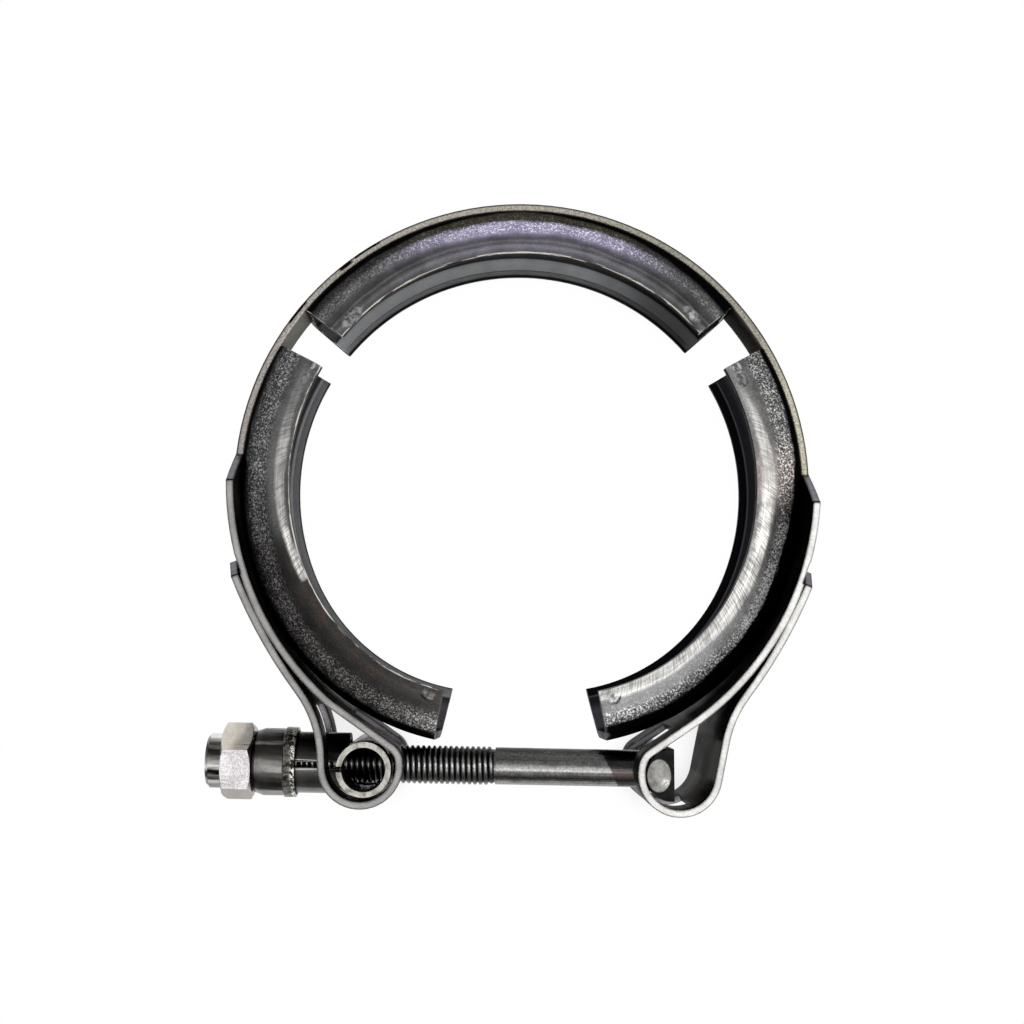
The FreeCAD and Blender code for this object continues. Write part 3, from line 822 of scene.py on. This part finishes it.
# The T head: dark, with a lighter facet on either end and a bright spot on it that is a painted highlight.
def headTone(tree, look, at):
    facet = scaled(tree, tone(*look["facet"]), varied(tree, at.cloud, 0.55, 1.2, 0.18))
    spot = ramp(tree, distanceFrom(tree, at.x, at.y, look["spotAt"]), 0.3, 0.9, (0.9, 0.0))
    facet = blendColour(tree, times(tree, spot, ramp(tree, at.grit, 0.35, 0.6)), facet, tone(*look["spot"]))
    centre = (look["facetAt"], boltLine["head"][1])
    oval = fall(tree, distanceFrom(tree, at.x, at.y, centre, look["facetSquash"]), *look["facetWithin"])
    flat = times(tree, ramp(tree, sizeOf(tree, facing(tree)[2]), 0.7, 0.95), oval)
    colour = scaled(tree, tone(*look["head"]), varied(tree, at.cloud, 0.6, 1.7))
    return blendColour(tree, flat, colour, facet)


def makeBoltSteel(look):
    material, tree = newMaterial("bolt_steel")
    where, x, y, z = place(tree)
    across = boltFacing(tree)
    cloud = noise(tree, where, *look["cloud"])
    grit = noise(tree, where, *look["grit"])
    at = SimpleNamespace(
        x=x, y=y, z=z, across=across, off=boltOffset(tree, x, y), cloud=cloud, grit=grit,
        wavy=plus(tree, across, wobble(tree, cloud, 0.22)),
    )
    threaded = fall(tree, x, *look["threadFrom"])
    colour = blendColour(tree, threaded, shankTone(tree, look, at), threadTone(tree, look, at))
    onHead = ramp(tree, sizeOf(tree, z), *look["headAbove"])
    colour = blendColour(tree, onHead, colour, headTone(tree, look, at))
    finishSteel(tree, colour, varied(tree, cloud, 0.22, 0.36), bump(tree, grit, 0.06, 0.45))
    return material


# The cup: tones run by how far a face looks across the bolt's line, in bands that are painted reflections, and
# its rough rim has white specks that are painted glints.
cupLook = {
    "body": (
        (-1.0, 90), (-0.93, 104), (-0.84, 148), (-0.74, 26), (-0.6, 34), (-0.5, 46), (-0.4, 70), (-0.3, 92),
        (-0.2, 146), (-0.05, 144), (0.08, 112), (0.18, 72), (0.35, 44), (0.54, 36), (0.6, 126), (0.66, 40),
        (0.8, 38), (0.9, 68), (1.0, 38),
    ),
    "rim": (112, 108, 102),
    "rimDark": (40, 38, 34),
    "rimFrom": (-38.95, -38.7),
    "spark": (232, 230, 222),
    "lipFrom": (-37.9, -37.4),
    "cloud": (0.4, 4, 0.6),
    "grit": (3.0, 3, 0.6),
    "coarse": (1.5, 3, 0.7),
}


def makeCupSteel(look):
    material, tree = newMaterial("cup_steel")
    where, x = place(tree)[:2]
    cloud = noise(tree, where, *look["cloud"])
    grit = noise(tree, where, *look["grit"])
    coarse = noise(tree, where, *look["coarse"])
    wavy = plus(tree, boltFacing(tree), wobble(tree, cloud, 0.10))
    body = greyBands(tree, wavy, look["body"], (1.0, 0.97, 0.93))
    body = scaled(tree, body, varied(tree, cloud, 0.8, 1.25))
    rim = ramp(tree, x, *look["rimFrom"])
    rimTone = blendColour(tree, ramp(tree, coarse, 0.38, 0.6), tone(*look["rimDark"]), tone(*look["rim"]))
    lip = times(tree, ramp(tree, x, *look["lipFrom"]), ramp(tree, coarse, 0.46, 0.56))
    rimTone = blendColour(tree, lip, rimTone, tone(*look["spark"]))
    colour = blendColour(tree, rim, body, rimTone)
    normal = bump(tree, grit, 0.03, 0.3)
    normal = bump(tree, times(tree, coarse, rim), 0.25, 0.6, normal)
    finishSteel(tree, colour, varied(tree, cloud, 0.18, 0.34), normal)
    return material


# The lock nut: its hex faces lighter or darker by the way they face, in painted light and shade, and its
# collar in bands that are painted reflections.
nutLook = {
    "flat": (184, 180, 181),
    "warm": (220, 213, 203),
    "warmLow": (172, 166, 158),
    "warmOver": (-49.6, -47.6),
    "low": (142, 135, 128),
    "end": (120, 116, 110),
    "collar": (
        (-1.0, 90), (-0.84, 124), (-0.7, 206), (-0.6, 30), (-0.48, 140), (-0.38, 10), (-0.26, 34),
        (-0.13, 226), (0.0, 158), (0.1, 128), (0.2, 78), (0.32, 46), (0.45, 22), (0.55, 110), (0.66, 68),
        (0.78, 135), (0.9, 236), (1.0, 222),
    ),
    "collarBeyond": (-49.0, -48.8),
    "cloud": (0.4, 4, 0.6),
    "grain": (4.2, 3, 0.65),
}


def makeNutSteel(look):
    material, tree = newMaterial("nut_steel")
    where, x, y = place(tree)[:3]
    across = boltFacing(tree)
    cloud = noise(tree, where, *look["cloud"])
    grain = noise(tree, where, *look["grain"])
    leaning = plus(tree, x, times(tree, boltOffset(tree, x, y), -0.6))
    lower = ramp(tree, leaning, *look["warmOver"])
    warm = blendColour(tree, lower, tone(*look["warm"]), tone(*look["warmLow"]))
    hexagon = blendColour(tree, ramp(tree, across, 0.3, 0.6), tone(*look["flat"]), warm)
    hexagon = blendColour(tree, fall(tree, across, -0.75, -0.45), hexagon, tone(*look["low"]))
    middle = ramp(tree, sizeOf(tree, across), 0.3, 0.6, (1.0, 0.25))
    hexagon = scaled(tree, hexagon, blend(tree, middle, 1.0, varied(tree, grain, 0.76, 1.2, 0.14)))
    wavy = plus(tree, across, wobble(tree, cloud, 0.08))
    collar = greyBands(tree, wavy, look["collar"], (1.0, 0.97, 0.93))
    colour = blendColour(tree, fall(tree, x, *look["collarBeyond"]), hexagon, collar)
    onEnd = ramp(tree, sizeOf(tree, facing(tree)[0]), 0.8, 0.95)
    colour = blendColour(tree, onEnd, colour, tone(*look["end"]))
    normal = bump(tree, grain, 0.04, times(tree, middle, 0.5))
    normal = bump(tree, cloud, 0.15, 0.2, normal)
    finishSteel(tree, colour, varied(tree, cloud, 0.18, 0.32), normal)
    return material


strapSteel = makeStrapSteel(strapLook)
insertSteel = makeInsertSteel(insertLook)
trunnionSteel = makeTrunnionSteel(trunnionLook)
boltSteel = makeBoltSteel(boltLook)
cupSteel = makeCupSteel(cupLook)
nutSteel = makeNutSteel(nutLook)

# Each piece's steel, and how wide its edges are softened in mm. The strap's edges are rounded by its steel.
dressing = {
    "strap": (strapSteel, 0.05),
    "insert_top": (insertSteel, 0.16),
    "insert_left": (insertSteel, 0.16),
    "insert_right": (insertSteel, 0.16),
    "trunnion": (trunnionSteel, 0.12),
    "t_bolt": (boltSteel, 0.15),
    "thrust_cup": (cupSteel, 0.12),
    "lock_nut": (nutSteel, 0.2),
}
softEdges = {"joinWithin": 0.001, "segments": 3, "sharperThan": 35}


def dress(node, material, width):
    for slot in node.material_slots:
        slot.material = material
    joined = node.modifiers.new("joined_edges", "WELD")
    joined.merge_threshold = softEdges["joinWithin"] * mm
    soften = node.modifiers.new("soft_edges", "BEVEL")
    soften.width = width * mm
    soften.segments = softEdges["segments"]
    soften.limit_method = "ANGLE"
    soften.angle_limit = math.radians(softEdges["sharperThan"])
    soften.harden_normals = True


for nodeName, (steel, softWidth) in dressing.items():
    dress(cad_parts[nodeName], steel, softWidth)
print("materials on the frame")

# The thread's ridges in mm: from and to along x, crest and root radius, and half of the crest's flat with the
# share of the height that its corners have.
thread = {
    "from": -4.6, "to": -49.9, "pitch": 0.907, "crest": 3.14, "root": 2.68, "flat": 0.16, "corner": 0.93,
    "steps": 48,
}


def threadPoints(setup):
    up = Vector((0, 0, 1))
    head = Vector((*boltLine["head"], 0))
    along = (head - Vector((*boltLine["trunnion"], 0))).normalized()
    side = up.cross(along)
    start = head - along * (head.x / along.x)
    half, flat, corner = setup["pitch"] / 2, setup["flat"], setup["corner"]
    profile = ((-half, 0.0), (-flat, corner), (0.0, 1.0), (flat, corner), (half, 0.0))
    count = int((setup["from"] - setup["to"]) / setup["pitch"] * setup["steps"])
    points = []
    for i in range(count + 1):
        angle = -2 * math.pi * i / setup["steps"]
        out = side * math.cos(angle) + up * math.sin(angle)
        x = setup["from"] - setup["pitch"] * i / setup["steps"]
        grow = min(1.0, i / setup["steps"], (count - i) / setup["steps"])  # over one turn at each end
        for offset, height in profile:
            radius = setup["root"] + (setup["crest"] - setup["root"]) * height * grow
            points.append((start + along * (x + offset) + out * radius) * mm)
    return points, len(profile)


def makeThread(setup):
    points, size = threadPoints(setup)
    faces = []
    for row in range(0, len(points) - size, size):
        for a in range(row, row + size - 1):
            faces.append((a, a + 1, a + size + 1, a + size))
    mesh = bpy.data.meshes.new("bolt_thread")
    mesh.from_pydata([tuple(point) for point in points], [], faces)
    mesh.materials.append(boltSteel)
    for polygon in mesh.polygons:
        polygon.use_smooth = True
    mesh.update()
    piece = bpy.data.objects.new("bolt_thread", mesh)
    bpy.context.scene.collection.objects.link(piece)
    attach(piece, "bolt_line")


makeThread(thread)
print("thread made")

# The floor shows white to the camera and keeps the soft shade close to the clamp.
floorLook = {
    "size": 3000.0, "below": 0.02, "grey": 0.30, "reach": 5.0, "samples": 8, "near": (0.25, 0.95),
    "shade": 0.80,
}


def makeFloor(look):
    material, tree = newMaterial("floor_white")
    paint = put(tree, "BsdfDiffuse", Color=(look["grey"],) * 3 + (1,))
    nearness = put(tree, "AmbientOcclusion", {"samples": look["samples"]}, Distance=look["reach"] * mm)
    shade = ramp(tree, nearness.outputs["AO"], *look["near"], (look["shade"], 1.0))
    glow = put(tree, "Emission", Color=shade, Strength=1.0)
    rays = put(tree, "LightPath").outputs
    seen = maths(tree, "MAXIMUM", rays["Is Camera Ray"], rays["Is Transmission Ray"])
    seen = maths(tree, "MAXIMUM", seen, rays["Is Glossy Ray"])
    toOutput(tree, put(tree, "MixShader", i0=seen, i1=paint.outputs[0], i2=glow.outputs[0]))

    size = look["size"] * mm
    z = cadLow[2] - look["below"] * mm
    mesh = bpy.data.meshes.new("floor")
    corners = [(-size, -size, z), (size, -size, z), (size, size, z), (-size, size, z)]
    mesh.from_pydata(corners, [], [(0, 1, 2, 3)])
    mesh.materials.append(material)
    floor = bpy.data.objects.new("floor", mesh)
    bpy.context.scene.collection.objects.link(floor)


makeFloor(floorLook)

lights = {
    "top": {"at": (15, 260, 310), "size": (150, 130), "radiance": 1.9, "tint": (0.97, 0.96, 1.0)},
    "right": {"at": (290, 30, 330), "size": (150, 190), "radiance": 1.8, "tint": (1.0, 0.99, 0.97)},
    "lowRight": {"at": (190, -230, 300), "size": (150, 130), "radiance": 1.3, "tint": (1.0, 1.0, 1.0)},
    "front": {"at": (-20, -190, 300), "size": (260, 60), "radiance": 1.6, "tint": (1.0, 1.0, 1.0)},
    "left": {"at": (-290, 30, 330), "size": (130, 150), "radiance": 1.0, "tint": (1.0, 0.99, 0.98)},
}
aim = (0, -5, 0)


def makeLights(setups):
    for name, setup in setups.items():
        data = bpy.data.lights.new(name, "AREA")
        data.shape = "RECTANGLE"
        data.size = setup["size"][0] * mm
        data.size_y = setup["size"][1] * mm
        data.energy = setup["radiance"] * math.pi * data.size * data.size_y
        data.color = setup["tint"]
        lamp = bpy.data.objects.new(name, data)
        here = Vector(setup["at"]) * mm
        lamp.location = here
        lamp.rotation_euler = (Vector(aim) * mm - here).to_track_quat("-Z", "Y").to_euler()
        bpy.context.scene.collection.objects.link(lamp)


makeLights(lights)

# What the metal mirrors: darker low walls, a mid grey slope and a white ceiling.
worldLook = {"wall": 0.52, "slope": 0.76, "ceiling": 1.0, "slopeAt": 0.62, "ceilingAt": 0.95, "fill": 0.55}


def makeWorld(look):
    world = bpy.data.worlds.new("studio")
    bpy.context.scene.world = world
    world.use_nodes = True
    tree = world.node_tree
    tree.nodes.clear()
    height = put(tree, "SeparateXYZ", Vector=put(tree, "TexCoord").outputs["Generated"]).outputs["Z"]
    low = ramp(tree, height, 0.0, look["slopeAt"], (look["wall"], look["slope"]))
    high = ramp(tree, height, look["slopeAt"], look["ceilingAt"], (0.0, look["ceiling"] - look["slope"]))
    rays = put(tree, "LightPath").outputs
    white = maths(tree, "MAXIMUM", rays["Is Camera Ray"], rays["Is Transmission Ray"])
    level = blend(tree, rays["Is Glossy Ray"], look["fill"], plus(tree, low, high))
    level = blend(tree, white, level, 1.0)
    toOutput(tree, put(tree, "Background", Color=level, Strength=1.0), "OutputWorld")


makeWorld(worldLook)
bpy.context.scene.view_settings.view_transform = "Standard"
print("light and floor made")
